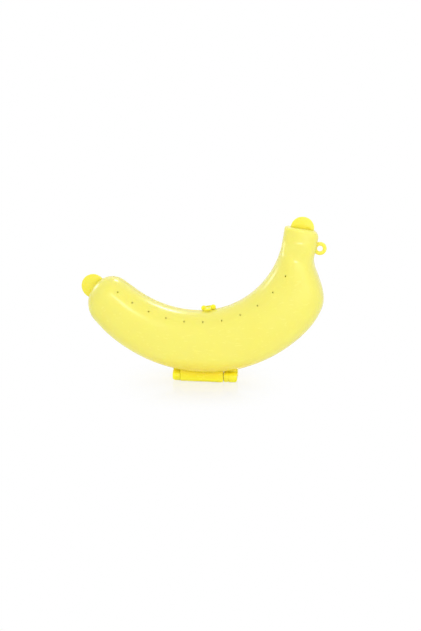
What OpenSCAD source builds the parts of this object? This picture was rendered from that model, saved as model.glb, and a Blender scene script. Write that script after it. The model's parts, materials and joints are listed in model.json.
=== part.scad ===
// Hard carrying case for one banana: two moulded half shells that meet on a flat
// parting plane, a pinned hinge under the outer curve and a clasp on the inner curve.
// Millimetres, +Z up. The case stands on its hinge at z = 0, the parting plane is y = 0,
// the front shell lies on the -Y side and the stem rises on the +X side.

/* [Curve of the inner edge] */
// Radius of the inner edge from its lowest point towards the tip
tip_bend_r = 87; // [82:1:110]
// Angle that the inner edge turns through towards the tip
tip_bend = 35.5; // [30:0.5:42]
// Straight length of the inner edge at the tip
tip_straight = 28.2; // [22:0.2:32]
// Radius of the inner edge from its lowest point up to the stem
stem_bend_r = 67.5; // [60:0.5:85]
// Angle that the inner edge turns through up to the stem
stem_bend = 82; // [74:1:88]
// Straight length of the inner edge at the stem
stem_straight = 10.8; // [8:0.2:20]

/* [Breadth seen from the front] */
// Breadth at the tip, before its corners are rounded
tip_breadth = 35.5; // [34:0.5:38]
// Breadth where the tip has swelled to the body
body_breadth = 42.5; // [40:0.5:46]
// Breadth above the hinge
mid_breadth = 49; // [44:0.5:52]
// Breadth at the fullest section
belly_breadth = 51.2; // [49:0.1:56]
// Breadth at the shoulder, where the belly starts to narrow
shoulder_breadth = 48.2; // [44:0.1:50]
// Breadth at the neck
neck_breadth = 26.5; // [24:0.5:30]
// Breadth at the end of the stem
stem_breadth = 27; // [24:0.2:30]

/* [Depth from front to back] */
// Depth at the tip, before its corners are rounded
tip_depth = 36.5; // [35:0.5:39]
// Depth where the tip has swelled to the body
body_depth = 41; // [38:0.5:46]
// Depth above the hinge
mid_depth = 45; // [40:0.5:50]
// Depth at the fullest section
belly_depth = 47; // [44:0.5:52]
// Depth at the collar, where the faces turn in towards the stem
collar_depth = 42; // [38:0.5:45]
// Depth at the crease, where the faces spring from the stem
crease_depth = 25; // [23:0.5:28]
// Depth at the end of the stem
stem_depth = 26; // [24:0.5:30]
// Squareness of the cross-section, 2 is an ellipse
section_power = 2.4; // [2:0.1:3]

/* [Lengths along the inner edge] */
// Length over which the tip swells to the body
tip_taper = 33.6; // [26:0.2:40]
// Length from the fullest section to the shoulder
belly_taper = 20; // [12:1:22]
// Length from the shoulder to the neck
neck_taper = 21; // [18:0.5:28]
// Length from the neck to the start of the straight stem
neck_reach = 6.2; // [5:0.1:10]
// Length from the neck down to the collar
collar_drop = 5; // [3:0.5:12]
// Length from the neck up to the crease
crease_rise = 8; // [5:0.5:9]
// Rounding round the end of the tip
tip_round = 16; // [12:0.5:16.5]
// Rounding of the stem's end on its inner side and its faces
stem_inner_round = 1.5; // [1:0.1:4]
// Rounding of the stem's end on its outer side
stem_outer_round = 6; // [4.5:0.5:9]

/* [Shells] */
// Wall thickness of the shells
wall = 2; // [1.9:0.1:2.6]
// Gap between the two rims when the case is shut
seam_gap = 0.3; // [0.2:0.05:0.5]
// Height of the tongue on the front rim past the parting plane
tongue_h = 0.8; // [0.6:0.1:1.2]
// Thickness of the tongue
tongue_t = 0.6; // [0.5:0.05:0.6]
// Distance of the tongue from the outside of the wall
tongue_in = 0.65; // [0.6:0.05:0.7]
// Gap between the tongue and the groove in the rear rim
tongue_gap = 0.25; // [0.2:0.05:0.3]
// Gap left between a fitting and the shell that it is welded to
weld_gap = 0.08; // [0.05:0.01:0.15]

/* [Air holes] */
// Diameter of an air hole
vent_d = 1.3; // [1:0.1:3]
// Distance of the row of air holes from the inner edge, on the tip side
vent_drop = 5.8; // [5:0.2:8]
// How much further from the inner edge the last air hole at the stem lies
vent_flare = 5; // [0:0.5:6]
// Place of the middle air hole along the inner edge, right of its lowest point
vent_mid = 6.4; // [-2:0.2:8]
// Pitch of the air holes along the inner edge
vent_pitch = 13.75; // [11:0.05:14.4]
// Number of air holes on each side of the middle one
vent_pairs = 5; // [2:1:5]

/* [Hinge] */
// Place of the middle of the hinge, right of the lowest point of the inner edge
hinge_x = 6.6; // [-2:0.2:10]
// Overall length of the hinge
hinge_len = 52.4; // [44:0.1:60]
// Length of the wide knuckle of the front leaf
front_knuckle_len = 34.6; // [28:0.2:36]
// Length of the rear knuckle on the tip side
left_knuckle_len = 6.2; // [5:0.1:8]
// Radius of the hinge barrel
hinge_r = 4; // [3.5:0.1:5]
// Gap between the hinge barrel and the shells above it
hinge_gap = 0.4; // [0.3:0.05:0.8]
// Gap between neighbouring knuckles
knuckle_gap = 0.4; // [0.3:0.05:0.8]
// Reach of the front leaf in front of the hinge axis
front_leaf_reach = 5.5; // [4.8:0.1:7]
// Reach of the rear knuckles behind the hinge axis
rear_leaf_reach = 8; // [6:0.1:9]
// Reach of the rear knuckles' feet in front of the hinge axis
foot_reach = 3; // [2:0.1:3.2]
// Radius of the hinge's outer bottom corners
hinge_corner_r = 2.5; // [1.5:0.1:3]
// Radius of the bottom corners between the knuckles
knuckle_corner_r = 1.2; // [0.6:0.1:1.5]
// Width of the groove round the right knuckle
groove_w = 0.8; // [0.4:0.1:1.2]
// Depth of that groove
groove_d = 0.4; // [0.2:0.1:0.6]
// Distance of the groove from the front leaf's knuckle
groove_at = 4; // [2.5:0.1:6]
// Radius of the hinge pin
hinge_pin_r = 1.25; // [1:0.05:1.6]
// Running clearance round a pin
pin_clear = 0.05; // [0.02:0.01:0.1]
// Plastic left outside the closed end of the pin's hole
pin_end_wall = 1.2; // [1:0.1:2]

/* [Clasp] */
// Place of the clasp along the inner edge, right of its lowest point
clasp_at = 9.4; // [-4:0.2:12]
// Width of the clasp's arm
clasp_arm_w = 5; // [4:0.1:6]
// Thickness of the clasp's arm
clasp_arm_t = 1.2; // [1:0.1:1.4]
// Height of the underside of the arm over the inner edge
clasp_arm_z = 1.3; // [1.2:0.05:1.6]
// Distance of the clasp's pivot behind the parting plane
clasp_pivot_y = 5.2; // [4.8:0.1:6.5]
// Height of the clasp's pivot over the inner edge
clasp_pivot_z = 1.7; // [1.6:0.05:2]
// Radius of the clasp's hub and of the bracket's lugs
clasp_hub_r = 1.4; // [1.2:0.05:1.4]
// Radius of the clasp's pin
clasp_pin_r = 0.7; // [0.5:0.05:0.8]
// Radius of a lobe of the thumb tab
lobe_r = 2; // [1.6:0.1:2.4]
// Distance of a lobe's middle from the middle of the tab
lobe_x = 3.9; // [3:0.1:4.4]
// Height of the lobes' middle over the inner edge
lobe_z = 2.2; // [2:0.1:2.6]
// Thickness of the thumb tab
lobe_t = 1.8; // [1.2:0.1:2]
// Distance of the thumb tab behind the parting plane
lobe_y = 0.4; // [0.2:0.1:0.8]
// Thickness of the bracket's lugs
lug_t = 1.9; // [1.4:0.1:2.4]
// Side play between the arm and the lugs
lug_gap = 0.3; // [0.2:0.05:0.4]
// Length of the bracket's pad behind the hub
pad_len = 2.4; // [1.6:0.1:4]
// Height of the bracket's pad over the inner edge
pad_z = 0.5; // [0.3:0.1:0.7]
// Distance of the catch in front of the parting plane
catch_y = 2.1; // [1.6:0.1:2.6]
// Thickness of the catch
catch_t = 1.2; // [0.9:0.1:1.5]
// Height of the catch over the inner edge
catch_z = 0.9; // [0.6:0.05:1]
// Width of the catch
catch_w = 6; // [4:0.2:8]
// Thickness of the hook in front of the catch
hook_t = 1.1; // [0.8:0.1:1.5]
// Clearance between the hook and the catch
hook_gap = 0.4; // [0.3:0.05:0.6]
// Clearance of the hook over the catch as the shell swings past
hook_lift = 0.15; // [0.1:0.05:0.25]

/* [Ears and ring] */
// Radius of the ear at the tip
tip_ear_r = 9.8; // [9:0.1:12]
// Distance of the tip ear's middle beyond the tip
tip_ear_out = 1; // [-1:0.1:2]
// Distance of the tip ear's middle from the tip's own middle, towards the outer edge
tip_ear_drop = 0.8; // [-1:0.1:3]
// Radius of the ear at the stem
stem_ear_r = 9; // [8:0.1:11]
// Thickness of the ears
ear_t = 2; // [1.4:0.1:3]
// Rounding of the edges of the ears and the ring
edge_round = 0.5; // [0.3:0.1:0.6]
// Outer radius of the lanyard ring
ring_r = 5.1; // [4.8:0.05:6]
// Radius of the hole in the lanyard ring
ring_hole_r = 2.2; // [1.6:0.1:2.3]
// Distance of the ring's middle outside the stem's outer edge
ring_out = 2.8; // [2.8:0.1:3.4]
// Thickness of the lanyard ring
ring_t = 2.4; // [1.6:0.1:3]
// Distance of the ring back from the end of the stem, along the inner edge
ring_back = 12.5; // [11:0.5:14]

/* [Hidden] */

$fn = 64;
shell_yellow = "#F8EF78";
fitting_yellow = "#FFE838";
pin_grey = "#C9CCD0";

// Lengths of the bends along the inner edge; s = 0 is its lowest point, s < 0 the tip side
degrees = 180 / PI;
tip_arc = tip_bend_r * tip_bend / degrees;
tip_len = tip_arc + tip_straight;
stem_arc = stem_bend_r * stem_bend / degrees;
stem_s = stem_arc + stem_straight;
neck_s = stem_arc - neck_reach;
shoulder_s = neck_s - neck_taper;
belly_s = shoulder_s - belly_taper;
breadth_s = [-tip_len, tip_taper - tip_len, 0, belly_s, shoulder_s, neck_s, stem_s];
breadths = [tip_breadth, body_breadth, mid_breadth, belly_breadth, shoulder_breadth,
            neck_breadth, stem_breadth];
depth_s = [-tip_len, tip_taper - tip_len, 0, belly_s, neck_s - collar_drop, neck_s + crease_rise,
           stem_s];
depths = [tip_depth, body_depth, mid_depth, belly_depth, collar_depth, crease_depth, stem_depth];

// Steps of the shell's grid: at each rounded end, along the body and round the half section
end_steps = 6;
body_steps = 48;
round_steps = 14;
least_round = 0.2;
rim = seam_gap / 2;

// Overshoot of a cut past the face that it goes through, and a length longer than any cut
past = 1;
far = 100;

// Heading of the inner edge and the point that it reaches
function turned(s) = s < 0
    ? max(s, -tip_arc) / tip_bend_r * degrees
    : min(s, stem_arc) / stem_bend_r * degrees;
function ahead(s) = [cos(turned(s)), sin(turned(s))];
function across(s) = [sin(turned(s)), -cos(turned(s))];
function edge(s) = (s < 0 ? tip_bend_r : stem_bend_r) * [sin(turned(s)), 1 - cos(turned(s))]
    + (min(s + tip_arc, 0) + max(s - stem_arc, 0)) * ahead(s);

// Smooth curve through values v at the knots k that never swings past a knot's value
function rise(k, v, i) = (v[i + 1] - v[i]) / (k[i + 1] - k[i]);
function slope(k, v, i) = i == 0 ? rise(k, v, 0)
    : i == len(v) - 1 ? rise(k, v, i - 1)
    : rise(k, v, i - 1) * rise(k, v, i) <= 0 ? 0
    : sign(rise(k, v, i)) * min(abs(rise(k, v, i - 1) + rise(k, v, i)) / 2,
        3 * min(abs(rise(k, v, i - 1)), abs(rise(k, v, i))));
function span(k, s) = max([0, for (i = [0 : len(k) - 2]) if (s >= k[i]) i]);
function between(k, v, i, t, h) = v[i] * (1 + 2 * t) * (1 - t) * (1 - t)
    + slope(k, v, i) * h * t * (1 - t) * (1 - t)
    + v[i + 1] * t * t * (3 - 2 * t)
    - slope(k, v, i + 1) * h * t * t * (1 - t);
function along(k, v, s) = let (i = span(k, s), h = k[i + 1] - k[i])
    between(k, v, i, min(max((s - k[i]) / h, 0), 1), h);
function breadth(s) = along(breadth_s, breadths, s);
function depth(s) = along(depth_s, depths, s);

// How far a rounded end draws the section in, for a body grown all round by some amount
function drawn_in(t, r) = t >= r ? 0 : r - sqrt(max(r * r - (r - t) * (r - t), 0));
function grown(r, grow) = max(r + grow, least_round);
function inset(s, grow, stem_round) = drawn_in(s + tip_len + grow, grown(tip_round, grow))
    + drawn_in(stem_s + grow - s, grown(stem_round, grow));

// Stations along the grown body, closer together round its two ends
function stations(grow) = let (
    first = -tip_len - grow,
    last = stem_s + grow,
    tip_r = grown(tip_round, grow),
    stem_r = grown(stem_outer_round, grow)
) concat(
    [for (k = [0 : end_steps - 1]) first + tip_r * (1 - cos(90 * k / end_steps))],
    [for (k = [0 : body_steps]) first + tip_r + (last - stem_r - first - tip_r) * k / body_steps],
    [for (k = [end_steps - 1 : -1 : 0]) last - stem_r * (1 - cos(90 * k / end_steps))]
);

// The whole case is centred over the origin and stands on its hinge
tip_mid = edge(-tip_len) + across(-tip_len) * tip_breadth / 2;
tip_ear_mid = tip_mid - ahead(-tip_len) * tip_ear_out + across(-tip_len) * tip_ear_drop;
stem_mid = edge(stem_s) + across(stem_s) * stem_breadth / 2;
ring_s = stem_s - ring_back;
ring_mid = edge(ring_s) + across(ring_s) * (breadth(ring_s) + ring_out);
outer_points = [for (s = stations(0)) edge(s) + across(s) * breadth(s)];
box_left = tip_ear_mid[0] - tip_ear_r;
box_right = max(ring_mid[0] + ring_r, max([for (p = outer_points) p[0]]));
box_bottom = min([for (p = outer_points) p[1]]) - hinge_gap - 2 * hinge_r;
shift = [-(box_left + box_right) / 2, -box_bottom];
function placed(p) = [p[0] + shift[0], 0, p[1] + shift[1]];

// A point of the front half's skin: a runs from 0 on the inner edge to 180 on the outer edge
function skin(s, a, grow) = let (
    near = inset(s, grow, stem_inner_round) - grow,
    off = breadth(s) - inset(s, grow, stem_outer_round) + grow,
    face = depth(s) / 2 + grow - inset(s, grow, stem_inner_round),
    side = sign(cos(a)) * pow(abs(cos(a)), 2 / section_power),
    bulge = pow(abs(sin(a)), 2 / section_power)
) placed(edge(s) + across(s) * ((near + off) / 2 - side * (off - near) / 2))
    - [0, bulge * (face - rim), 0];

columns = round_steps + 1;
function grid(list, grow, y) = [for (s = list) for (j = [0 : round_steps])
    skin(s, 180 * j / round_steps, grow) - [0, y, 0]];

// Triangles of a grid's skin, of a flat end and of a strip between two lines of points
function turn(f, flip) = flip ? [f[0], f[2], f[1]] : f;
function quad(a, b, c, d) = [[a, b, c], [a, c, d]];
function sheet(first, rows, flip) = [for (i = [0 : rows - 2]) for (j = [0 : round_steps - 1])
    let (a = first + i * columns + j)
    each [turn([a, a + 1, a + columns], flip), turn([a + 1, a + columns + 1, a + columns], flip)]];
function fan(first, flip) = [for (j = [1 : round_steps - 1])
    turn([first, first + j, first + j + 1], flip)];
function strip(first, step, second, second_step, rows, flip) = [for (i = [0 : rows - 2])
    let (a = first + i * step, b = second + i * second_step)
    each [turn([a, a + step, b], flip), turn([a + step, b + second_step, b], flip)]];

// Filled front half of the case, grown by some amount, over a stretch of the inner edge
module filled_half(grow, from, to) {
    list = [for (s = stations(grow)) if (s >= from && s <= to) s];
    rows = len(list);
    polyhedron(
        points = grid(list, grow, rim - grow),
        faces = concat(
            sheet(0, rows, true),
            strip(0, columns, round_steps, columns, rows, true),
            fan(0, false),
            fan((rows - 1) * columns, true)));
}

// Four points of a ridge or a groove on the rim, between a point on the outside and one on the
// inside: near and far are measured from the outside, high from the parting plane
ridge_points = 4;
function ridge(out, in, near, far, high) = let (
    a = out + (in - out) * near / wall,
    b = out + (in - out) * far / wall,
    up = [0, high + rim, 0]
) [a, a + up, b + up, b];

// Strips from the outside over the ridge to the inside, along one long edge
function ridge_strips(out, first, in, rows, flip) = concat(
    strip(out, columns, first, ridge_points, rows, flip),
    [for (k = [0 : ridge_points - 2])
        each strip(first + k, ridge_points, first + k + 1, ridge_points, rows, flip)],
    strip(first + ridge_points - 1, ridge_points, in, columns, rows, flip));

// Rim across one end of the shell: a and b are the ridges on its two long edges
function end_rim(out_a, out_b, a, b, in_a, in_b) = let (top = ridge_points - 1) concat(
    quad(out_a, out_b, b, a),
    quad(a, b, b + top, a + top),
    quad(a + top, b + top, in_b, in_a),
    quad(a, a + top, a + 2, a + 1),
    quad(b, b + 1, b + 2, b + top));

// Hollow half shell on the front side, open at the parting plane, with a ridge on its rim
module hollow_half(near, far, high) {
    skin_out = grid(stations(0), 0, rim);
    skin_in = grid(stations(-wall), -wall, rim);
    rows = len(stations(0));
    inner = rows * columns;
    last = (rows - 1) * columns;
    ridge_a = 2 * inner;
    ridge_b = ridge_a + rows * ridge_points;
    last_a = ridge_b - ridge_points;
    last_b = last_a + rows * ridge_points;
    polyhedron(
        points = concat(skin_out, skin_in,
            [for (side = [0, round_steps]) for (i = [0 : rows - 1])
                let (k = i * columns + side)
                each ridge(skin_out[k], skin_in[k], near, far, high)]),
        faces = concat(
            sheet(0, rows, true),
            sheet(inner, rows, false),
            ridge_strips(0, ridge_a, inner, rows, true),
            ridge_strips(round_steps, ridge_b, inner + round_steps, rows, false),
            fan(0, false),
            fan(last, true),
            fan(inner, true),
            fan(inner + last, false),
            end_rim(0, round_steps, ridge_a, ridge_b, inner, inner + round_steps),
            end_rim(last + round_steps, last, last_b, last_a,
                inner + last + round_steps, inner + last)));
}

module air_holes() {
    for (k = [-vent_pairs : vent_pairs], s = vent_mid + k * vent_pitch)
        translate(placed(edge(s) + across(s) * (vent_drop + vent_flare * max(k, 0) / vent_pairs)))
            rotate([90, 0, 0])
                cylinder(d = vent_d, h = far);
}

tongue_far = tongue_in + tongue_t;

module front_shell() color(shell_yellow) difference() {
    hollow_half(tongue_in, tongue_far, tongue_h);
    air_holes();
}

module rear_shell() color(shell_yellow) mirror([0, 1, 0]) difference() {
    hollow_half(tongue_in - tongue_gap, tongue_far + tongue_gap, -tongue_h - tongue_gap);
    air_holes();
}

// Cuts a fitting to sit on the front or the rear shell with the weld gap
module seated_front(from, to) difference() {
    children();
    filled_half(weld_gap, from, to);
}
module seated_rear(from, to) difference() {
    children();
    mirror([0, 1, 0]) filled_half(weld_gap, from, to);
}

// Extrusions of a drawing that is laid in the YZ plane or in the XZ plane
module along_x(from, to) translate([from, 0, 0]) rotate([90, 0, 90])
    linear_extrude(to - from) children();
module along_y(from, to) translate([0, to, 0]) rotate([90, 0, 0])
    linear_extrude(to - from) children();

// Rectangle whose two lower corners are rounded, the second one only if r1 isn't zero
module footed(x0, x1, top, r0, r1) {
    translate([x0, max(r0, r1)]) square([x1 - x0, top - max(r0, r1)]);
    translate([x0, r0]) square([x1 - x0 - r1, top - r0]);
    translate([x0 + r0, r1]) square([x1 - x0 - r0, top - r1]);
    translate([x0 + r0, 0]) square([x1 - x0 - r0 - r1, top]);
    translate([x0 + r0, r0]) circle(r0);
    if (r1 > 0)
        translate([x1 - r1, r1]) circle(r1);
}

// Hinge under the outer curve; its axis runs along X through y = 0, z = hinge_r
hinge_mid = hinge_x + shift[0];
hinge_left = hinge_mid - hinge_len / 2;
hinge_right = hinge_mid + hinge_len / 2;
front_left = hinge_left + left_knuckle_len + knuckle_gap;
front_right = front_left + front_knuckle_len;
right_left = front_right + knuckle_gap;

// Height from which the leaves are cut back to the shells, their distance from the parting
// plane and the stretch of shell that cuts them
leaf_top = 4 * hinge_r;
leaf_h = leaf_top - hinge_r;
leaf_split = 2 * rim;
hinge_s = hinge_len;

module hinge_bore(from, to) along_x(from, to)
    translate([0, hinge_r]) circle(hinge_pin_r + pin_clear);

// Rear knuckle: barrel, foot and a block up to the rear shell
module rear_knuckle(x0, x1, r0, r1) seated_rear(-hinge_s, hinge_s) intersection() {
    along_x(x0, x1) {
        translate([0, hinge_r]) circle(hinge_r);
        footed(-foot_reach, rear_leaf_reach, hinge_r, knuckle_corner_r, hinge_corner_r);
        translate([leaf_split, hinge_r]) square([rear_leaf_reach - leaf_split, leaf_h]);
    }
    along_y(-far, far) footed(x0, x1, leaf_top, r0, r1);
}

module front_hinge_leaf() color(fitting_yellow) difference() {
    seated_front(-hinge_s, hinge_s) intersection() {
        along_x(front_left, front_right) {
            translate([0, hinge_r]) circle(hinge_r);
            footed(-front_leaf_reach, 0, hinge_r, hinge_corner_r, 0);
            translate([-front_leaf_reach, hinge_r]) square([front_leaf_reach - leaf_split, leaf_h]);
        }
        along_y(-far, far)
            footed(front_left, front_right, leaf_top, knuckle_corner_r, knuckle_corner_r);
    }
    hinge_bore(front_left - past, front_right + past);
}

module rear_left_knuckle() color(fitting_yellow) difference() {
    rear_knuckle(hinge_left, front_left - knuckle_gap, hinge_corner_r, knuckle_corner_r);
    hinge_bore(hinge_left + pin_end_wall, front_left);
}

module rear_right_knuckle() color(fitting_yellow) difference() {
    rear_knuckle(right_left, hinge_right, knuckle_corner_r, hinge_corner_r);
    hinge_bore(front_right, hinge_right + past);
    translate([front_right + groove_at, 0, 0]) groove();
}

// Shallow groove round the front of the right knuckle's barrel and foot
module groove() along_x(0, groove_w) difference() {
    translate([-far, 0]) square([far, hinge_r]);
    translate([groove_d, groove_d])
        footed(-foot_reach, rear_leaf_reach, far, knuckle_corner_r, hinge_corner_r);
    translate([0, hinge_r]) circle(hinge_r - groove_d);
}

module hinge_pin() color(pin_grey)
    along_x(hinge_left + pin_end_wall + knuckle_gap, hinge_right - knuckle_gap)
        translate([0, hinge_r]) circle(hinge_pin_r);

// Clasp over the inner edge, drawn with x along the edge, y to the back and z off the edge
hook_y = catch_y + catch_t + hook_gap;
lug_in = clasp_arm_w / 2 + lug_gap;
lug_out = lug_in + lug_t;
pad_front = clasp_pivot_y + clasp_hub_r + lug_gap;
pad_back = pad_front + pad_len;

// Depth below the edge from which the fittings are cut back to the shells, and the stretch of
// shell on each side of the clasp that cuts them
clasp_root = 3;
clasp_reach = 4 * (lobe_x + lobe_r);
clasp_from = clasp_at - clasp_reach;
clasp_to = clasp_at + clasp_reach;

module at_clasp() translate(placed(edge(clasp_at))) rotate([0, -turned(clasp_at), 0]) children();
module clasp_bore(r, half) along_x(-half, half)
    translate([clasp_pivot_y, clasp_pivot_z]) circle(r);

module latch_bracket() color(fitting_yellow) difference() {
    seated_rear(clasp_from, clasp_to) at_clasp() {
        for (x = [-lug_out, lug_in])
            along_x(x, x + lug_t) {
                translate([clasp_pivot_y, clasp_pivot_z]) circle(clasp_hub_r);
                translate([clasp_pivot_y - clasp_hub_r, -clasp_root])
                    square([2 * clasp_hub_r, clasp_root + clasp_pivot_z]);
                translate([clasp_pivot_y, -clasp_root])
                    square([pad_back - clasp_pivot_y, clasp_root + pad_z]);
            }
        along_x(-lug_out, lug_out)
            translate([pad_front, -clasp_root]) square([pad_len, clasp_root + pad_z]);
    }
    at_clasp() clasp_bore(clasp_pin_r + pin_clear, lug_out + past);
}

module latch_pin() color(pin_grey) at_clasp() clasp_bore(clasp_pin_r, lug_out);

module latch_clasp() color(fitting_yellow) at_clasp() difference() {
    union() {
        clasp_bore(clasp_hub_r, clasp_arm_w / 2);
        along_x(-clasp_arm_w / 2, clasp_arm_w / 2) {
            translate([-hook_y, clasp_arm_z]) square([hook_y + clasp_pivot_y, clasp_arm_t]);
            translate([-hook_y - hook_t, catch_z + hook_lift])
                square([hook_t, clasp_arm_z + clasp_arm_t - catch_z - hook_lift]);
        }
        along_y(lobe_y, lobe_y + lobe_t) {
            for (x = [-lobe_x, lobe_x])
                translate([x, lobe_z]) circle(lobe_r);
            translate([-lobe_x, clasp_arm_z]) square([2 * lobe_x, clasp_arm_t]);
        }
    }
    clasp_bore(clasp_pin_r + pin_clear, clasp_arm_w);
}

module latch_catch() color(fitting_yellow) seated_front(clasp_from, clasp_to)
    at_clasp() along_x(-catch_w / 2, catch_w / 2)
        translate([-catch_y - catch_t, -clasp_root]) square([catch_t, clasp_root + catch_z]);

// Flat disc with rounded edges that stands on the parting plane, behind it
module rounded_disc(r, t) rotate([90, 0, 0]) rotate_extrude() {
    translate([0, -t]) square([r - edge_round, t]);
    translate([0, edge_round - t]) square([r, t - 2 * edge_round]);
    for (z = [-edge_round, edge_round - t])
        translate([r - edge_round, z]) circle(edge_round);
}

module tip_ear() color(fitting_yellow) seated_rear(-tip_len - past, tip_taper - tip_len)
    translate(placed(tip_ear_mid) + [0, rim, 0]) rounded_disc(tip_ear_r, ear_t);

module stem_ear() color(fitting_yellow) seated_rear(neck_s, stem_s + past)
    translate(placed(stem_mid) + [0, rim, 0]) rounded_disc(stem_ear_r, ear_t);

module lanyard_ring() color(fitting_yellow) seated_rear(shoulder_s, stem_s + past)
    translate(placed(ring_mid) + [0, rim, 0]) difference() {
        rounded_disc(ring_r, ring_t);
        along_y(-past, ring_t + past) circle(ring_hole_r);
    }

front_shell();
rear_shell();
front_hinge_leaf();
rear_left_knuckle();
rear_right_knuckle();
hinge_pin();
latch_bracket();
latch_pin();
latch_clasp();
latch_catch();
tip_ear();
stem_ear();
lanyard_ring();
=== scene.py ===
"""A hard carrying case for one banana: its finished surfaces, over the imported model."""
import json

import bmesh
import bpy
import numpy as np
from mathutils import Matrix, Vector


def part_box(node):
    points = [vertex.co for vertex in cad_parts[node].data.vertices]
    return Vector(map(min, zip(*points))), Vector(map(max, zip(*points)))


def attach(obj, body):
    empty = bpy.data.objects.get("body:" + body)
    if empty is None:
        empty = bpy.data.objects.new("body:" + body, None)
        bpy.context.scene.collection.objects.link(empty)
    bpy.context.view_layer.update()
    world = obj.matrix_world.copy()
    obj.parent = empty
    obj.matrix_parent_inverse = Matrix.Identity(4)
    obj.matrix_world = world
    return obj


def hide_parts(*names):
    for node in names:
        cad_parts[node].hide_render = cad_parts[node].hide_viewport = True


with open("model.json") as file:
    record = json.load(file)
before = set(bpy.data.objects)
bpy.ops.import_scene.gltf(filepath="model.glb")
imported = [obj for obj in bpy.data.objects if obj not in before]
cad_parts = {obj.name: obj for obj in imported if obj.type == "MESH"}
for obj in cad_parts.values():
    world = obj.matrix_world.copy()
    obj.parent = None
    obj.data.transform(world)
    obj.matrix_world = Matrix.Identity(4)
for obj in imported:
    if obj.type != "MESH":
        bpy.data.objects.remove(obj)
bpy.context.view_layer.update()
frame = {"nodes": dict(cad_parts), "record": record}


# Rear shell
# One injection moulding in pale lemon plastic, about two millimetres thick, curved like the fruit.
# Its flat rim has a groove for the front shell's tongue, and a row of small air holes, narrower
# on the inside, is moulded through it beside the inner edge.
MM = 0.001
TIP_BEND = (87.0, np.radians(35.5))
STEM_BEND = (67.5, np.radians(82.0))
TIP_STRAIGHT, STEM_STRAIGHT = 28.2, 10.8
TIP_ARC, STEM_ARC = TIP_BEND[0] * TIP_BEND[1], STEM_BEND[0] * STEM_BEND[1]
TIP_S, STEM_S = -TIP_ARC - TIP_STRAIGHT, STEM_ARC + STEM_STRAIGHT
ARM_ALONG, BELLY_BACK, SHOULDER_BACK, NECK_BACK = 33.6, 41.0, 21.0, 6.2
SLIM_BEFORE, SLIM_AFTER = 5.0, 8.0
NECK_S = STEM_ARC - NECK_BACK
ARM_S, BELLY_S = TIP_S + ARM_ALONG, NECK_S - BELLY_BACK
BREADTH_KNOTS = np.array([TIP_S, ARM_S, 0.0, BELLY_S, NECK_S - SHOULDER_BACK, NECK_S, STEM_S])
BREADTHS = np.array([35.5, 42.5, 49.0, 51.2, 48.2, 26.5, 27.0])
DEPTH_KNOTS = np.array(
    [TIP_S, ARM_S, 0.0, BELLY_S, NECK_S - SLIM_BEFORE, NECK_S + SLIM_AFTER, STEM_S])
DEPTHS = np.array([36.5, 41.0, 45.0, 47.0, 42.0, 25.0, 26.0])
SQUARENESS = 2.4
TIP_ROUND, STEM_INNER_ROUND, STEM_OUTER_ROUND, LEAST_ROUND = 16.0, 1.5, 6.0, 0.2
WALL, RIM = 2.0, 0.15
VENT_R, VENT_INNER_R, VENT_PITCH, VENT_MID, VENT_PAIRS = 0.65, 0.35, 13.75, 6.4, 5
VENT_DROP, VENT_FLARE = 5.8, 5.0
# Height of the shells' lowest line, and how far above it the painted shade near the hinge reaches.
LOWEST, PAINTED_SHADE_HIGH = 8.4, 15.0


def heading(s):
    """Angle of the inner edge: it turns evenly along each of its two bends and is straight past
    them."""
    tip, stem = np.maximum(s, -TIP_ARC) / TIP_BEND[0], np.minimum(s, STEM_ARC) / STEM_BEND[0]
    return np.where(s < 0, tip, stem)


def inner_edge(s):
    """Point of the inner edge in x and z: a radius times (sin h, 1 - cos h), plus the straight
    end along the heading."""
    h = heading(s)
    r = np.where(s < 0, TIP_BEND[0], STEM_BEND[0])
    straight = np.minimum(s + TIP_ARC, 0) + np.maximum(s - STEM_ARC, 0)
    return r * np.sin(h) + straight * np.cos(h), r * (1 - np.cos(h)) + straight * np.sin(h)


def swell(values, s, knots):
    """Cubic through the knots whose slopes are the mean of the neighbours' slopes, held back so
    that the curve never swings past a knot."""
    rise = np.diff(values) / np.diff(knots)
    before, after = rise[:-1], rise[1:]
    least = 3 * np.minimum(np.abs(before), np.abs(after))
    mean = np.minimum(np.abs(before + after) / 2, least)
    middle = np.sign(after) * mean * (before * after > 0)
    slope = np.concatenate([rise[:1], middle, rise[-1:]])
    i = np.clip(np.searchsorted(knots, s, side="right") - 1, 0, len(knots) - 2)
    h = knots[i + 1] - knots[i]
    t = np.clip((s - knots[i]) / h, 0, 1)
    return (values[i] * (1 + 2 * t) * (1 - t) ** 2 + slope[i] * h * t * (1 - t) ** 2
            + values[i + 1] * t * t * (3 - 2 * t) - slope[i + 1] * h * t * t * (1 - t))


def drawn_in(t, r):
    """How far a rounded end of radius r draws the section in, t before the end:
    r - sqrt(r^2 - (r - t)^2)."""
    t = np.clip(t, 0, r)
    return r - np.sqrt(np.maximum(r * r - (r - t) ** 2, 0))


def reach(s, grow):
    """Inner edge, outer edge and half depth of the section at s, for a skin moved out by grow:
    the breadth and the half depth there, less what the rounded ends draw in."""
    tip = drawn_in(s - TIP_S + grow, TIP_ROUND + grow)
    inner = tip + drawn_in(STEM_S + grow - s, max(STEM_INNER_ROUND + grow, LEAST_ROUND))
    outer = tip + drawn_in(STEM_S + grow - s, STEM_OUTER_ROUND + grow)
    breadth, depth = swell(BREADTHS, s, BREADTH_KNOTS), swell(DEPTHS, s, DEPTH_KNOTS)
    return inner - grow, breadth - outer + grow, depth / 2 + grow - inner


def on_section(s, v, y):
    """Place of a point v across from the inner edge, square to its heading h, and y from the
    parting plane: x + v sin h, y, z - v cos h."""
    x, z = inner_edge(s)
    h = heading(s)
    return np.stack(np.broadcast_arrays(x + np.sin(h) * v, y, z - np.cos(h) * v), -1)


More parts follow.
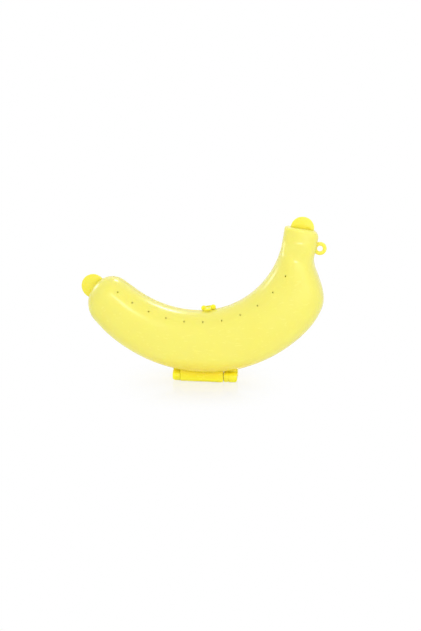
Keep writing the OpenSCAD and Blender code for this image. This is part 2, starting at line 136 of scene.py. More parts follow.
def skin(s, a, grow, rim):
    """Superellipse section: across = middle - cos(a)^(2/n) half breadths, depth = sin(a)^(2/n)
    half depths, starting rim in front of the parting plane."""
    near, far, face = reach(s, grow)
    side = np.sign(np.cos(a)) * np.abs(np.cos(a)) ** (2 / SQUARENESS)
    bulge = np.abs(np.sin(a)) ** (2 / SQUARENESS)
    return on_section(s, (near + far) / 2 - side * (far - near) / 2, -rim - bulge * (face - rim))


def angle_at(s, v, grow):
    """Angle on the section at which the skin lies v across from the inner edge: the
    superellipse's across solved for a."""
    near, far, _ = reach(s, grow)
    side = ((near + far) / 2 - v) / ((far - near) / 2)
    return np.arccos(np.clip(np.sign(side) * np.abs(side) ** (SQUARENESS / 2), -1, 1))


ROWS_PER_VENT, COLUMNS, END_ROWS, CAP_ROWS = 18, 96, 16, 7
ROW_MARGIN, FINE_STEPS = 0.3, 4000
RIM_ROUND, RIM_TURNS = 0.25, np.radians([30.0, 60.0, 90.0])
rows_per_mm = ROWS_PER_VENT / VENT_PITCH
first_row = np.ceil((TIP_S + TIP_ROUND - VENT_MID) * rows_per_mm + ROW_MARGIN)
last_row = np.floor((STEM_S - STEM_OUTER_ROUND - VENT_MID) * rows_per_mm - ROW_MARGIN)
body_rows = VENT_MID + np.arange(first_row, last_row + 1) * VENT_PITCH / ROWS_PER_VENT
quarter = 1 - np.cos(np.linspace(0, np.pi / 2, END_ROWS))
cap_share = np.concatenate([
    np.linspace(0, 1, CAP_ROWS, endpoint=False), np.ones(2 * END_ROWS + len(body_rows)),
    np.linspace(1, 0, CAP_ROWS + 1)[1:]])
fine = np.linspace(TIP_S, STEM_S, FINE_STEPS)
outer_line = on_section(fine, reach(fine, 0.0)[1], 0.0)
rear_low, rear_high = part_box("rear_shell")
PLACE = np.array([(rear_low.x + rear_high.x) / 2 / MM, 0.0, LOWEST]) - np.array(
    [(outer_line[:, 0].min() + outer_line[:, 0].max()) / 2, 0.0, outer_line[:, 2].min()])


def row_stations(grow):
    """Stations of all rows: both flat ends stand still while their rows shrink to the middle."""
    start, stop = TIP_S - grow, STEM_S + grow
    return np.concatenate([
        np.full(CAP_ROWS, start), start + (TIP_ROUND + grow) * quarter, body_rows,
        stop - (STEM_OUTER_ROUND + grow) * quarter[::-1], np.full(CAP_ROWS, stop)])


def skin_grid(grow, angles, rim):
    """All rows of one skin, with the rows of the two flat ends shrunk towards the end's middle."""
    s = row_stations(grow)[:, None]
    near, far, _ = reach(s, grow)
    middle = on_section(s, (near + far) / 2, -rim)
    return middle + (skin(s, angles[None, :], grow, rim) - middle) * cap_share[:, None, None]


def rim_strip(outer, inner, near, far, high):
    """Rim from the outer to the inner skin: a quarter round, then a flat. Between near and far
    across the wall it rises by high as a tongue, or sinks as a groove if high is below zero."""
    lift = np.array([0.0, 1.0, 0.0])
    along = (inner - outer) * np.array([1.0, 0.0, 1.0])
    along /= np.linalg.norm(along, axis=1, keepdims=True)
    bend = RIM_TURNS[None, :, None]
    fillet = (outer[:, None] + along[:, None] * RIM_ROUND * (1 - np.cos(bend))
              + lift * RIM_ROUND * np.sin(bend))
    flat = outer + lift * RIM_ROUND
    a, b = flat + (inner - flat) * near / WALL, flat + (inner - flat) * far / WALL
    up = lift * (high + RIM) * (cap_share == 1)[:, None]
    return np.concatenate([fillet, np.stack([a, a + up, b + up, b], 1)], 1)


HOLE_HALF, HOLE_RINGS, BLOCK_CORNER, NO_BEND = 3, 3, -135, 1e8
vent_turn = np.arange(-VENT_PAIRS, VENT_PAIRS + 1)
vent_s = VENT_MID + VENT_PITCH * vent_turn
vent_drop = VENT_DROP + VENT_FLARE * np.maximum(vent_turn, 0) / VENT_PAIRS


def ring_round_vent(centre, drop, radius, grow):
    """Circle of an air hole of the radius given, in the skin's own terms: a step u along and w
    across from the hole's middle is turned about the bend's centre,
    s = s0 + R atan(u / (R + v0 + w)), v = hypot(u, R + v0 + w) - R."""
    count = 8 * HOLE_HALF
    turn = np.radians(BLOCK_CORNER + 360 * np.arange(count) / count)
    bend = np.where(centre < 0, TIP_BEND[0], STEM_BEND[0])
    bend = np.where(centre < -TIP_ARC, NO_BEND, bend)[:, None]
    u, w = radius * np.cos(turn)[None, :], radius * np.sin(turn)[None, :]
    out = bend + drop[:, None] + w
    s = centre[:, None] + bend * np.arctan2(u, out)
    return s, angle_at(s, np.hypot(u, out) - bend, grow)


def round_quads(index):
    """Faces of a grid of point numbers whose rows close on themselves: each takes a point and
    the next one of its row, and the same two of the row after."""
    ahead = np.roll(index, -1, axis=-1)
    return np.stack([index[..., :-1, :], index[..., 1:, :], ahead[..., 1:, :], ahead[..., :-1, :]],
                    -1)


def half_shell(name, body, node, near, far, high, side):
    """Closed wall of one half: the profile runs over the outer skin, the rounded rim with its
    tongue or groove and back over the inner skin, and it is carried along all rows. Round each
    air hole a block of faces is taken out and filled with rings that go from the block's edge to
    the hole. The painted shade is 1 at the lowest line and falls to 0 at PAINTED_SHADE_HIGH above
    it: a deeper colour painted for the shade and yellow bounce light round the hinge."""
    angles = np.linspace(0, np.pi, COLUMNS + 1)
    out_rim = RIM + RIM_ROUND
    outer, inner = skin_grid(0.0, angles, out_rim), skin_grid(-WALL, angles, RIM)
    far_rim, near_rim = (rim_strip(outer[:, column], inner[:, column], near, far, high)
                         for column in (COLUMNS, 0))
    grid = np.concatenate([outer, far_rim, inner[:, ::-1], near_rim[:, ::-1]], 1)
    rows, loop = grid.shape[:2]
    index = np.arange(rows * loop).reshape(rows, loop)
    quads = round_quads(index)
    keep = np.ones(quads.shape[:2], bool)
    h = HOLE_HALF
    row0 = (CAP_ROWS + END_ROWS + vent_turn * ROWS_PER_VENT - first_row).astype(int)
    steps, level = np.arange(2 * h), np.full(2 * h, h)
    around_i = np.concatenate([steps - h, level, h - steps, -level])
    around_j = np.concatenate([-level, steps - h, level, h - steps])
    block_i, block_j = np.arange(-h, h)[:, None], np.arange(-h, h)[None, :]
    inner_end = 2 * COLUMNS + 1 + far_rim.shape[1]
    share = (np.arange(1, HOLE_RINGS + 1) / HOLE_RINGS)[None, :, None]
    points, faces, circles = [grid.reshape(-1, 3)], [], []
    count = rows * loop
    for grow, rim, radius, start, step in ((0.0, out_rim, VENT_R, 0, 1),
                                           (-WALL, RIM, VENT_INNER_R, inner_end, -1)):
        middle = np.rint(angle_at(vent_s, vent_drop, grow) / np.pi * COLUMNS).astype(int)
        column = start + step * middle
        keep[row0[:, None, None] + block_i, column[:, None, None] + block_j] = False
        i, j = row0[:, None] + around_i, middle[:, None] + around_j
        s_border, a_border = row_stations(grow)[i], angles[j]
        s_hole, a_hole = ring_round_vent(vent_s, vent_drop, radius, grow)
        s = s_border[:, None] + (s_hole - s_border)[:, None] * share
        a = a_border[:, None] + (a_hole - a_border)[:, None] * share
        points.append(skin(s, a, grow, rim).reshape(-1, 3))
        new = count + np.arange(s.size).reshape(s.shape)
        count += s.size
        rings = np.concatenate([index[i, start + step * j][:, None], new], 1)
        faces.append(round_quads(rings).reshape(-1, 4))
        circles.append(new[:, -1])
    bores = round_quads(np.stack(circles, 1)).reshape(-1, 4)
    faces = np.concatenate([quads[keep], *faces, bores])
    points = (np.concatenate(points) + PLACE) * np.array([1.0, side, 1.0]) * MM
    piece = moulded(name, points, faces.tolist(), body, [node])
    # Painted shade and yellow bounce light: the colour deepens towards the shells' lowest line.
    mark_crease(piece, 1 - (places_of(piece)[2] - LOWEST) / PAINTED_SHADE_HIGH)
    piece.data.materials.append(LEMON)


SHARP, MERGE, SLIVER = 38.0, 2e-7, 1e-7


def placed(name, data):
    """New object in the scene that shows the mesh, lamp or camera given."""
    thing = bpy.data.objects.new(name, data)
    bpy.context.scene.collection.objects.link(thing)
    return thing


def moulded(name, points, faces, body, nodes, sharp=SHARP):
    """Mesh of a finished piece: doubles merged at the poles, faces turned outwards, edges past an
    angle kept sharp."""
    mesh = bpy.data.meshes.new(name)
    mesh.from_pydata(points.tolist(), [], faces)
    build = bmesh.new()
    build.from_mesh(mesh)
    bmesh.ops.remove_doubles(build, verts=build.verts, dist=MERGE)
    bmesh.ops.dissolve_degenerate(build, edges=build.edges, dist=SLIVER)
    bmesh.ops.recalc_face_normals(build, faces=build.faces)
    build.to_mesh(mesh)
    build.free()
    mesh.shade_smooth()
    mesh.set_sharp_from_angle(angle=np.radians(sharp))
    piece = placed(name, mesh)
    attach(piece, body)
    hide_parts(*nodes)
    return piece


def places_of(piece):
    """Points of a piece's mesh in millimetres, as rows of x, y and z."""
    places = np.empty(len(piece.data.vertices) * 3)
    piece.data.vertices.foreach_get("co", places)
    return places.reshape(-1, 3).T / MM


def mark_crease(piece, amount):
    """Notes on every point of a mesh how much painted shade deepens its colour, held between 0 and
    1.
    """
    crease = piece.data.attributes.new("crease", "FLOAT", "POINT")
    crease.data.foreach_set("value", np.clip(amount, 0, 1))


def preset(node, values):
    """Gives a node's own sockets, by name, the constant values listed."""
    for name, value in values.items():
        node.inputs[name].default_value = value


def moulded_group():
    """Shared look of a moulding: slow clouds of a deeper colour, fine ripple of the mould's skin,
    and faint hairline scuffs that roughen it."""
    group = bpy.data.node_groups.new("moulded plastic", "ShaderNodeTree")
    for name, kind, default in (
            ("Colour", "NodeSocketColor", (1, 1, 1, 1)),
            ("Deep Colour", "NodeSocketColor", (1, 1, 1, 1)),
            ("Painted Shade", "NodeSocketFloat", 0.0), ("Cloud", "NodeSocketFloat", 0.2),
            ("Roughness", "NodeSocketFloat", 0.3), ("Scuff", "NodeSocketFloat", 0.1)):
        socket = group.interface.new_socket(name, in_out="INPUT", socket_type=kind)
        socket.default_value = default
    for name, kind in (("Colour", "NodeSocketColor"), ("Roughness", "NodeSocketFloat"),
                       ("Height", "NodeSocketFloat")):
        group.interface.new_socket(name, in_out="OUTPUT", socket_type=kind)
    new, link = group.nodes.new, group.links.new
    given, result = new("NodeGroupInput"), new("NodeGroupOutput")
    place, stretch = new("ShaderNodeTexCoord"), new("ShaderNodeMapping")
    preset(stretch, {"Rotation": (0.4, 0.7, 0.5), "Scale": (1.0, 14.0, 3.0)})
    clouds, ripple, scuffs = (new("ShaderNodeTexNoise") for _ in range(3))
    preset(clouds, {"Scale": 38.0, "Detail": 3.0})
    preset(ripple, {"Scale": 420.0, "Detail": 2.0})
    preset(scuffs, {"Scale": 160.0, "Detail": 4.0})
    link(place.outputs["Object"], clouds.inputs["Vector"])
    link(place.outputs["Object"], ripple.inputs["Vector"])
    link(place.outputs["Object"], stretch.inputs["Vector"])
    link(stretch.outputs["Vector"], scuffs.inputs["Vector"])
    # The painted shade given to the group is added to the clouds' share of the deeper colour.
    share, rough = new("ShaderNodeMath"), new("ShaderNodeMath")
    share.operation = rough.operation = "MULTIPLY_ADD"
    share.use_clamp = True
    link(clouds.outputs["Fac"], share.inputs[0])
    link(given.outputs["Cloud"], share.inputs[1])
    link(given.outputs["Painted Shade"], share.inputs[2])
    colour = new("ShaderNodeMix")
    colour.data_type = "RGBA"
    link(share.outputs[0], colour.inputs["Factor"])
    link(given.outputs["Colour"], colour.inputs["A"])
    link(given.outputs["Deep Colour"], colour.inputs["B"])
    lines = new("ShaderNodeMapRange")
    preset(lines, {"From Min": 0.58, "From Max": 0.72})
    link(scuffs.outputs["Fac"], lines.inputs["Value"])
    link(lines.outputs["Result"], rough.inputs[0])
    link(given.outputs["Scuff"], rough.inputs[1])
    link(given.outputs["Roughness"], rough.inputs[2])
    link(colour.outputs["Result"], result.inputs["Colour"])
    link(rough.outputs[0], result.inputs["Roughness"])
    link(ripple.outputs["Fac"], result.inputs["Height"])
    return group


MOULDED = moulded_group()


def plastic(name, colour, deep, cloud, roughness, scuff, bump, seam_shade_depth):
    """Moulded plastic: the shared look feeds the shader. The colour is deeper within the given
    depth of the parting plane, a painted shade of the joint there, and where a mesh marks painted
    shade and bounce light in its attribute. The larger of the two counts."""
    material = bpy.data.materials.new(name)
    material.use_nodes = True
    new, link = material.node_tree.nodes.new, material.node_tree.links.new
    shader = material.node_tree.nodes["Principled BSDF"]
    preset(shader, {"IOR": 1.49, "Subsurface Weight": 0.7, "Subsurface Scale": 0.004,
                    "Subsurface Radius": (0.7, 0.8, 0.25)})
    look = new("ShaderNodeGroup")
    look.node_tree = MOULDED
    preset(look, {"Colour": (*colour, 1), "Deep Colour": (*deep, 1), "Cloud": cloud,
                  "Roughness": roughness, "Scuff": scuff})
    place, split = new("ShaderNodeTexCoord"), new("ShaderNodeSeparateXYZ")
    size, deeper = new("ShaderNodeMath"), new("ShaderNodeMath")
    size.operation, deeper.operation = "ABSOLUTE", "MAXIMUM"
    near, crease, bumps = (new("ShaderNodeMapRange"), new("ShaderNodeAttribute"),
                           new("ShaderNodeBump"))
    # Painted shade of the joint: up to 0.55 of the deeper colour at the parting plane.
    preset(near, {"From Min": seam_shade_depth, "From Max": 0.0, "To Max": 0.55})
    # Painted shade and bounce light that the mesh marks in its attribute.
    crease.attribute_name = "crease"
    preset(bumps, {"Strength": bump, "Distance": 0.0004})
    link(place.outputs["Object"], split.inputs["Vector"])
    link(split.outputs["Y"], size.inputs[0])
    link(size.outputs[0], near.inputs["Value"])
    link(near.outputs["Result"], deeper.inputs[0])
    link(crease.outputs["Fac"], deeper.inputs[1])
    link(deeper.outputs[0], look.inputs["Painted Shade"])
    link(look.outputs["Colour"], shader.inputs["Base Color"])
    link(look.outputs["Roughness"], shader.inputs["Roughness"])
    link(look.outputs["Height"], bumps.inputs["Height"])
    link(bumps.outputs["Normal"], shader.inputs["Normal"])
    return material


# The shells' painted shade of the joint reaches 2.2 mm from the parting plane.
LEMON = plastic("lemon shell plastic", (0.94, 0.86, 0.17), (1.0, 0.75, 0.02), cloud=0.16,
                roughness=0.24, scuff=0.10, bump=0.05, seam_shade_depth=0.0022)
TONGUE_IN, TONGUE_OUT, TONGUE_HIGH, TONGUE_GAP = 0.65, 1.25, 0.8, 0.25
half_shell("rear_shell_moulding", "rear", "rear_shell", near=TONGUE_IN - TONGUE_GAP,
           far=TONGUE_OUT + TONGUE_GAP, high=-TONGUE_HIGH - TONGUE_GAP, side=-1.0)


# Front shell
# The same moulding turned about, in the same plastic. Its rim carries the thin tongue that drops
# into the rear shell's groove when the case is shut.
half_shell("front_shell_moulding", "front", "front_shell", near=TONGUE_IN, far=TONGUE_OUT,
           high=TONGUE_HIGH, side=1.0)


# Hinge
# Three knuckles in a deeper yellow under the outer curve, the wide middle one on the front shell
# and the two outer ones on the rear shell. Their tops run into the shells, and the case stands on
# their flat undersides.
# The fittings' painted shade of the joint reaches half a millimetre from the parting plane.
FITTING = {"cloud": 0.2, "roughness": 0.27, "scuff": 0.12, "bump": 0.05, "seam_shade_depth": 0.0005}
BUTTER = plastic("butter fitting plastic", (1.0, 0.92, 0.04), (1.0, 0.76, 0.01), **FITTING)
BARREL_R, BITE, SOFT_EDGE = 4.0, 0.6, 0.35
HINGE_CORNER, KNUCKLE_CORNER, CORNER_STEPS = 2.5, 1.2, 9
FRONT_REACH, REAR_REACH, FOOT_REACH, SPLIT = 5.5, 8.0, 3.0, 0.3
# The last is how far below the shells the painted shade on the hinge reaches.
TOP_POINTS, TOP_GUESS, PAINTED_SHADE_DROP = 8, 12.0, 2.2
LEVEL_IN, LEVEL_STEPS, UNDERSIDE_STEPS = 3, 24, 800
GROOVE_AT, GROOVE_WIDE, GROOVE_DEEP, GROOVE_SIDE, KNUCKLE_GAP = 4.0, 0.8, 0.4, 0.03, 0.4
underside_s = np.linspace(TIP_S + TIP_ROUND, NECK_S, UNDERSIDE_STEPS)


def arc(y, z, r, start, stop, steps):
    """Points of a circle's arc in y and z, angles in degrees from +y towards +z."""
    turn = np.radians(np.linspace(start, stop, steps))
    return np.stack([y + r * np.cos(turn), z + r * np.sin(turn)], -1)


def underside(x, y):
    """Height of the shells' underside at x for each y: the superellipse solved for its far
    edge."""
    near, far, face = reach(underside_s, 0.0)
    heights = []
    for off in np.abs(y):
        depth = np.clip((off - RIM) / (face - RIM), 0, 1)
        side = (1 - depth ** SQUARENESS) ** (1 / SQUARENESS)
        line = on_section(underside_s, (near + far) / 2 + side * (far - near) / 2, 0.0) + PLACE
        heights.append(np.interp(x, line[:, 0], line[:, 2]))
    return np.stack(heights, -1)


def hinge_piece(name, body, node, section, corners, groove=None):
    """Section in y and z carried along x: the first points of the section follow the shells'
    underside, the ends are drawn in round their edges, and towards each end the bottom rises on a
    rounded corner. A groove is given by its two ends and its depth. The painted shade is 1 on the
    shells' underside and falls to 0 at PAINTED_SHADE_DROP below it: a deeper colour painted for
    the shade and yellow bounce light under the shells."""
    low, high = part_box(node)
    start, stop = low.x / MM, high.x / MM
    turn = np.linspace(0, np.pi / 2, CORNER_STEPS)
    soft = SOFT_EDGE * (1 - np.cos(turn[::2]))
    ends = [np.concatenate([soft, r * (1 - np.cos(turn[1:]))]) for r in corners]
    level = np.linspace(start + LEVEL_IN, stop - LEVEL_IN, LEVEL_STEPS)
    sides = [] if groove is None else [
        end + step for end in groove[:2] for step in (-GROOVE_SIDE, GROOVE_SIDE)]
    x = np.unique(np.concatenate([start + ends[0], level, stop - ends[1], sides]).round(4))
    inset = drawn_in(np.minimum(x - start, stop - x), SOFT_EDGE)
    if groove is not None:
        inset = inset + groove[2] * ((x > groove[0]) & (x < groove[1]))
    floor_z = np.maximum(drawn_in(x - start, corners[0]), drawn_in(stop - x, corners[1]))
    ahead = np.roll(section, -1, 0) - np.roll(section, 1, 0)
    out = np.stack([ahead[:, 1], -ahead[:, 0]], -1) / np.linalg.norm(ahead, axis=1, keepdims=True)
    yz = section[None] - out[None] * inset[:, None, None]
    height = np.maximum(yz[..., 1], floor_z[:, None])
    height[:, :TOP_POINTS] = underside(x, section[:TOP_POINTS, 0]) + BITE
    points = np.stack(np.broadcast_arrays(x[:, None], yz[..., 0], height), -1)
    rows, loop = points.shape[:2]
    index = np.arange(rows * loop).reshape(rows, loop)
    faces = round_quads(index).reshape(-1, 4).tolist()
    faces += [index[0].tolist(), index[-1, ::-1].tolist()]
    piece = moulded(name, points.reshape(-1, 3) * MM, faces, body, [node])
    x, _, z = places_of(piece)
    below = underside(x, np.array([FRONT_REACH]))[:, 0] - z
    # Painted shade and bounce light: the colour deepens towards the top, under the shells.
    mark_crease(piece, 1 - below / PAINTED_SHADE_DROP)
    piece.data.materials.append(BUTTER)


def top_line(start, stop):
    """Row of points that will be laid on the shells' underside."""
    return np.stack([np.linspace(start, stop, TOP_POINTS), np.full(TOP_POINTS, TOP_GUESS)], -1)


split_turn = np.degrees(np.arcsin(SPLIT / BARREL_R))
foot_turn = np.degrees(np.arccos(FOOT_REACH / BARREL_R))
leaf_section = np.concatenate([
    top_line(-SPLIT, -FRONT_REACH),
    arc(-FRONT_REACH + HINGE_CORNER, HINGE_CORNER, HINGE_CORNER, 180, 270, steps=10),
    arc(0, BARREL_R, BARREL_R, 270, 450 + split_turn, steps=32)])
knuckle_section = np.concatenate([
    top_line(REAR_REACH, SPLIT),
    arc(0, BARREL_R, BARREL_R, 90 - split_turn, 180 + foot_turn, steps=24),
    arc(-FOOT_REACH + KNUCKLE_CORNER, KNUCKLE_CORNER, KNUCKLE_CORNER, 180, 270, steps=7),
    arc(REAR_REACH - HINGE_CORNER, HINGE_CORNER, HINGE_CORNER, 270, 360, steps=10)])
groove_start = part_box("rear_right_knuckle")[0].x / MM - KNUCKLE_GAP + GROOVE_AT
hinge_piece("front_leaf_moulding", "front", "front_hinge_leaf", leaf_section,
            (KNUCKLE_CORNER, KNUCKLE_CORNER))
hinge_piece("left_knuckle_moulding", "rear", "rear_left_knuckle", knuckle_section,
            (HINGE_CORNER, KNUCKLE_CORNER))
hinge_piece("right_knuckle_moulding", "rear", "rear_right_knuckle", knuckle_section,
            (KNUCKLE_CORNER, HINGE_CORNER),
            groove=(groove_start, groove_start + GROOVE_WIDE, GROOVE_DEEP))


# Pins
# Two lengths of drawn steel wire with broken edges: one is pushed into the hinge from the stem's
# side, the other goes through the clasp's hub.
STEEL = bpy.data.materials.new("drawn steel wire")
STEEL.use_nodes = True
nodes, link = STEEL.node_tree.nodes, STEEL.node_tree.links.new
wire, where, stretch = (nodes["Principled BSDF"], nodes.new("ShaderNodeTexCoord"),
                        nodes.new("ShaderNodeMapping"))
lines, spread = nodes.new("ShaderNodeTexNoise"), nodes.new("ShaderNodeMapRange")
preset(wire, {"Base Color": (0.58, 0.59, 0.61, 1), "Metallic": 1.0})
preset(stretch, {"Scale": (20.0, 2600.0, 2600.0)})
preset(lines, {"Scale": 1.0})
preset(spread, {"To Min": 0.22, "To Max": 0.42})
link(where.outputs["Object"], stretch.inputs["Vector"])
link(stretch.outputs["Vector"], lines.inputs["Vector"])
link(lines.outputs["Fac"], spread.inputs["Value"])
link(spread.outputs["Result"], wire.inputs["Roughness"])
HINGE_PIN_R, CLASP_PIN_R, PIN_PROUD, LUG_OUT, PAST_LUGS = 1.25, 0.7, 0.55, 4.7, 0.15


def pin(name, body, node, middle, axis, radius, half, turns=40, chamfer=0.2):
    """Cylinder about an axis through its middle, with both ends closed and their edges broken:
    circles of the radii r at the distances along, joined from end to end."""
    axis = np.array(axis) / np.linalg.norm(axis)
    side = np.cross(axis, (0.0, 1.0, 0.0))
    side /= np.linalg.norm(side)
    up = np.cross(axis, side)
    along = np.array([-half, -half, -half + chamfer, half - chamfer, half, half])
    r = np.array([0.0, radius - chamfer, radius, radius, radius - chamfer, 0.0])
    turn = 2 * np.pi * np.arange(turns) / turns
    points = (np.array(middle) + along[:, None, None] * axis + r[:, None, None]
              * (np.cos(turn)[None, :, None] * side + np.sin(turn)[None, :, None] * up))
    faces = round_quads(np.arange(along.size * turns).reshape(along.size, turns)).reshape(-1, 4)
    piece = moulded(name, points.reshape(-1, 3) * MM, faces.tolist(), body, [node],
                    sharp=30.0)
    piece.data.materials.append(STEEL)


low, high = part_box("hinge_pin")
pin("hinge_pin_wire", "rear", "hinge_pin",
    ((low.x + high.x) / 2 / MM + PIN_PROUD / 2, 0.0, BARREL_R), (1.0, 0.0, 0.0), HINGE_PIN_R,
    (high.x - low.x) / 2 / MM + PIN_PROUD / 2)
clasp_joint = next(
    j for j in frame["record"]["behaviour"]["joints"] if j["name"] == "clasp_lift")
pin("clasp_pin_wire", "rear", "latch_pin", np.array(clasp_joint["pos_m"]) / MM,
    clasp_joint["axis"], CLASP_PIN_R, LUG_OUT + PAST_LUGS)


# Clasp
# A thumb tab with two lobes swings on a bracket on the rear shell and hooks over a small catch on
# the front shell. The three are small mouldings in the fittings' yellow with slightly rounded
# edges.
WELD, FLAT_WITHIN, BEVEL_FROM, BEVEL_STEPS = 2e-6, 1.0, 35.0, 3


def softened(name, body, node, width):
    """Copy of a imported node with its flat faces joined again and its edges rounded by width."""
    build = bmesh.new()
    build.from_mesh(frame["nodes"][node].data)
    bmesh.ops.remove_doubles(build, verts=build.verts, dist=WELD)
    bmesh.ops.dissolve_limit(build, angle_limit=np.radians(FLAT_WITHIN), verts=build.verts,
                             edges=build.edges)
    mesh = bpy.data.meshes.new(name)
    build.to_mesh(mesh)
    build.free()
    mesh.materials.clear()
    mesh.materials.append(BUTTER)
    mesh.shade_smooth()
    mesh.set_sharp_from_angle(angle=np.radians(SHARP))
    piece = placed(name, mesh)
    edges = piece.modifiers.new("rounded edges", "BEVEL")
    edges.width, edges.segments = width * MM, BEVEL_STEPS
    edges.limit_method, edges.angle_limit = "ANGLE", np.radians(BEVEL_FROM)
    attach(piece, body)
    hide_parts(node)


softened("clasp_bracket_moulding", "rear", "latch_bracket", width=0.2)
softened("clasp_tab_moulding", "clasp", "latch_clasp", width=0.25)
softened("clasp_catch_moulding", "front", "latch_catch", width=0.2)


# Ears and cord ring
# Flat plates on the rear shell's rim: a round ear behind the tip, another behind the
# stem and a small ring for a cord beside the neck. Each one grows out of the shell's wall.
CITRUS = plastic("citrus ear plastic", (0.90, 0.83, 0.12), (0.83, 0.74, 0.04), **FITTING)
EAR_RAYS, EDGE_STEPS, NEARBY = 240, 5, 1
EAR_EDGE, RING_EDGE, EAR_THICK, RING_THICK = 0.5, 0.9, 2.0, 2.4


def rim_line(s, side, grow):
    """Edge of the shells in the parting plane: 0 is the inner edge, 1 the outer one."""
    return (on_section(s, reach(s, grow)[side], 0.0) + PLACE)[:, [0, 2]]


def half_turn(angle):
    """The same angle between minus a half and plus a half turn."""
    return (angle + np.pi) % (2 * np.pi) - np.pi


def plate(name, node, pole, middle, radius, wall, thick, edge, hole=None):
    """Flat plate round a pole: each ray ends on a circle, or sooner on the shell's wall, and its
    rims are rounded. A hole round the pole is given by its radius, and without one the plate is
    closed at the pole."""
    turn = np.linspace(-np.pi, np.pi, EAR_RAYS, endpoint=False)
    ray = np.stack([np.cos(turn), np.sin(turn)], -1)
    off = np.array(middle) - pole
    along = ray @ off
    out = along + np.sqrt(radius ** 2 - off @ off + along ** 2)
    line = wall[np.hypot(*(wall - middle).T) < radius + NEARBY] - pole
    facing = np.arctan2(*line.mean(0)[::-1])
    bearing = half_turn(np.arctan2(line[:, 1], line[:, 0]) - facing)
    order = np.argsort(bearing)
    meets = np.interp(half_turn(turn - facing), bearing[order], np.hypot(*line.T)[order],
                      left=np.inf, right=np.inf)
    out = np.minimum(out, meets)
    bend = np.linspace(0, np.pi / 2, EDGE_STEPS)[:, None]
    rise, reach_out = edge * (1 - np.cos(bend)), out - edge * (1 - np.sin(bend))
    if hole is None:
        lip, lip_rise = np.zeros((1, EAR_RAYS)), np.zeros((1, 1))
    else:
        lip = np.full(EAR_RAYS, hole) + edge / 2 * (1 - np.sin(bend))
        lip_rise = edge / 2 * (1 - np.cos(bend))
    reach_all = np.concatenate([lip[::-1], reach_out, reach_out[::-1], lip])
    depth = np.concatenate([lip_rise[::-1], rise, (thick - rise)[::-1], thick - lip_rise])
    flat = pole + reach_all[..., None] * ray
    points = np.stack(np.broadcast_arrays(flat[..., 0], RIM + depth, flat[..., 1]), -1)
    rows = points.shape[0]
    index = np.arange(rows * EAR_RAYS).reshape(rows, EAR_RAYS)
    if hole is not None:
        index = np.concatenate([index, index[:1]])
    faces = round_quads(index).reshape(-1, 4).tolist()
    piece = moulded(name, points.reshape(-1, 3) * MM, faces, "rear", [node])
    piece.data.materials.append(CITRUS)


def end_middle(s):
    """Middle of the breadth in the parting plane at an end of the case, and the heading there."""
    breadth = swell(BREADTHS, np.array([s]), BREADTH_KNOTS)
    point = (on_section(s, breadth / 2, 0.0) + PLACE)[0, [0, 2]]
    return point, np.array([np.cos(heading(s)), np.sin(heading(s))])


def end_wall(s, steps):
    """Outline of an end in the parting plane: along the inner edge to the end, straight across
    and back along the outer edge."""
    inner, outer = rim_line(s[::-1], 0, -BITE), rim_line(s, 1, -BITE)
    across = inner[-1] + (outer[0] - inner[-1]) * np.linspace(0, 1, steps)[:, None]
    return np.concatenate([inner, across, outer])


EAR_R, EAR_OUT, EAR_DROP, EAR_POLE = 9.8, 1.0, 0.8, 4.5
END_LONG, END_STEPS = 20, 200
along_end = END_LONG * (1 - np.cos(np.linspace(0, np.pi / 2, END_STEPS)))
tip_wall = end_wall(TIP_S + BITE + along_end, steps=30)
tip_point, tip_ahead = end_middle(TIP_S)
tip_across = np.array([tip_ahead[1], -tip_ahead[0]])
ear_middle = tip_point - tip_ahead * EAR_OUT + tip_across * EAR_DROP
plate("tip_ear_moulding", "tip_ear", ear_middle - tip_ahead * EAR_POLE, ear_middle, EAR_R,
      tip_wall, EAR_THICK, EAR_EDGE)

STEM_EAR_R, STEM_POLE = 9.0, 4.0
stem_wall = end_wall(STEM_S - BITE - along_end, steps=60)
stem_point, stem_ahead = end_middle(STEM_S)
plate("stem_ear_moulding", "stem_ear", stem_point + stem_ahead * STEM_POLE, stem_point,
      STEM_EAR_R, stem_wall, EAR_THICK, EAR_EDGE)

RING_R, RING_HOLE, RING_BACK, RING_STEPS = 5.1, 2.2, 12, 300
ring_mount = next(m for m in frame["record"]["mounts"] if m["name"] == "lanyard_ring")
ring_middle = np.array(ring_mount["pos_m"])[[0, 2]] / MM
neck_s = np.linspace(NECK_S - RING_BACK, STEM_S - STEM_OUTER_ROUND, RING_STEPS)
plate("cord_ring_moulding", "lanyard_ring", ring_middle, ring_middle, RING_R,
      rim_line(neck_s, 1, -BITE), RING_THICK, RING_EDGE, hole=RING_HOLE)


# Floor
# A round table top, glossy and white. It takes the case's shadow and a soft reflection, and it
# fades out into the white backdrop before its edge. A shell that hangs open below it is seen
# through it.
FLOOR_R, FLOOR_SIDES, FADE_FROM, FADE_TO = 0.085, 96, 0.015, 0.08
floor_turn = 2 * np.pi * np.arange(FLOOR_SIDES) / FLOOR_SIDES
floor_edge = np.stack([np.cos(floor_turn), np.sin(floor_turn), 0 * floor_turn], -1) * FLOOR_R
floor_mesh = bpy.data.meshes.new("floor")
floor_mesh.from_pydata(floor_edge, [], [list(range(FLOOR_SIDES))])
floor = placed("floor", floor_mesh)


def seen_rays(nodes, link):
    """1 for rays from the camera and for mirrored ones, 0 for the rest: the larger of the two."""
    rays, seen = nodes.new("ShaderNodeLightPath"), nodes.new("ShaderNodeMath")
    seen.operation = "MAXIMUM"
    link(rays.outputs["Is Camera Ray"], seen.inputs[0])
    link(rays.outputs["Is Glossy Ray"], seen.inputs[1])
    return seen.outputs[0]


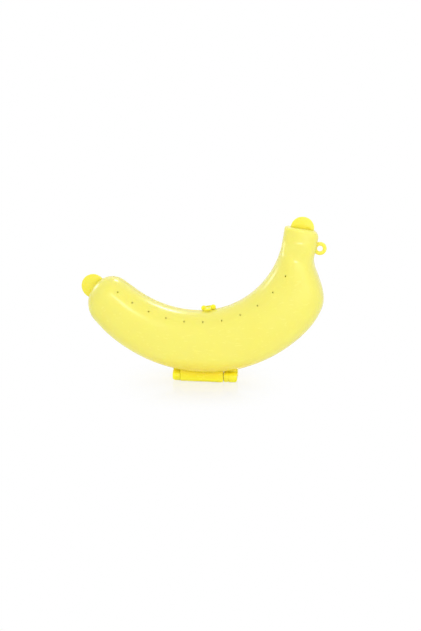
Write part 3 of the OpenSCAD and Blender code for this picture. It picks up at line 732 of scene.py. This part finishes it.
table = bpy.data.materials.new("white table")
table.use_nodes = True
nodes, link = table.node_tree.nodes, table.node_tree.links.new
top, clear, blend = (nodes["Principled BSDF"], nodes.new("ShaderNodeBsdfTransparent"),
                     nodes.new("ShaderNodeMixShader"))
preset(top, {"Base Color": (0.93, 0.93, 0.92, 1), "Roughness": 0.16, "IOR": 3.0})
where, spread = nodes.new("ShaderNodeTexCoord"), nodes.new("ShaderNodeVectorMath")
fade, share = nodes.new("ShaderNodeMapRange"), nodes.new("ShaderNodeMath")
spread.operation, share.operation = "LENGTH", "MULTIPLY"
preset(fade, {"From Min": FADE_FROM, "From Max": FADE_TO, "To Min": 0.66})
fade.interpolation_type = "SMOOTHSTEP"
link(where.outputs["Object"], spread.inputs[0])
link(spread.outputs["Value"], fade.inputs["Value"])
link(fade.outputs["Result"], share.inputs[0])
link(seen_rays(nodes, link), share.inputs[1])
link(share.outputs[0], blend.inputs["Fac"])
link(top.outputs[0], blend.inputs[1])
link(clear.outputs[0], blend.inputs[2])
link(blend.outputs[0], nodes["Material Output"].inputs["Surface"])
floor_mesh.materials.append(table)


# Studio light
# White surroundings and four softboxes: a small key in front, a little to the right of the camera
# and above it, one behind and above, one behind on the left, and a broad weak fill low in front
# on the right.
world = bpy.data.worlds.new("studio")
bpy.context.scene.world = world
world.use_nodes = True
nodes, link = world.node_tree.nodes, world.node_tree.links.new
room, backdrop, blend = (nodes["Background"], nodes.new("ShaderNodeBackground"),
                         nodes.new("ShaderNodeMixShader"))
preset(room, {"Color": (1, 1, 1, 1), "Strength": 0.8})
preset(backdrop, {"Color": (1, 1, 1, 1), "Strength": 1.0})
link(seen_rays(nodes, link), blend.inputs["Fac"])
link(room.outputs[0], blend.inputs[1])
link(backdrop.outputs[0], blend.inputs[2])
link(blend.outputs[0], nodes["World Output"].inputs["Surface"])
AIM = np.array([-0.0006, 0.0, 0.065])


def softbox(name, place, size, power):
    """Square area lamp that looks at the middle of the case."""
    lamp = bpy.data.lights.new(name, "AREA")
    lamp.size, lamp.energy = size, power
    holder = placed(name, lamp)
    holder.location = place
    aim = Vector(AIM.tolist()) - Vector(place)
    holder.rotation_euler = aim.to_track_quat("-Z", "Y").to_euler()


softbox("key softbox", (0.17, -0.89, 0.50), size=0.1, power=1.6)
softbox("rear strip softbox", (0.05, 0.75, 0.8), size=0.2, power=1.5)
softbox("left softbox", (-0.9, 0.5, 0.45), size=0.25, power=1.1)
softbox("front fill", (0.45, -0.95, 0.2), size=0.9, power=2.2)


# Camera
# It stands a little to the stem's side and a little above the case, as in the photo, and its
# picture is shifted so that the case lies where it does there.
AZIMUTH, ELEVATION, DISTANCE, LENS = np.radians(8.0), np.radians(11.0), 0.600, 42.94
SHIFT_X, SHIFT_Y = 0.01678, -0.02166
camera = placed("camera", bpy.data.cameras.new("camera"))
back = np.array([np.sin(AZIMUTH) * np.cos(ELEVATION), -np.cos(AZIMUTH) * np.cos(ELEVATION),
                 np.sin(ELEVATION)])
camera.location = (AIM + back * DISTANCE).tolist()
camera.rotation_euler = Vector((-back).tolist()).to_track_quat("-Z", "Y").to_euler()
camera.data.lens = LENS
camera.data.shift_x, camera.data.shift_y = SHIFT_X, SHIFT_Y
bpy.context.scene.camera = camera
bpy.context.scene.view_settings.view_transform = "Standard"
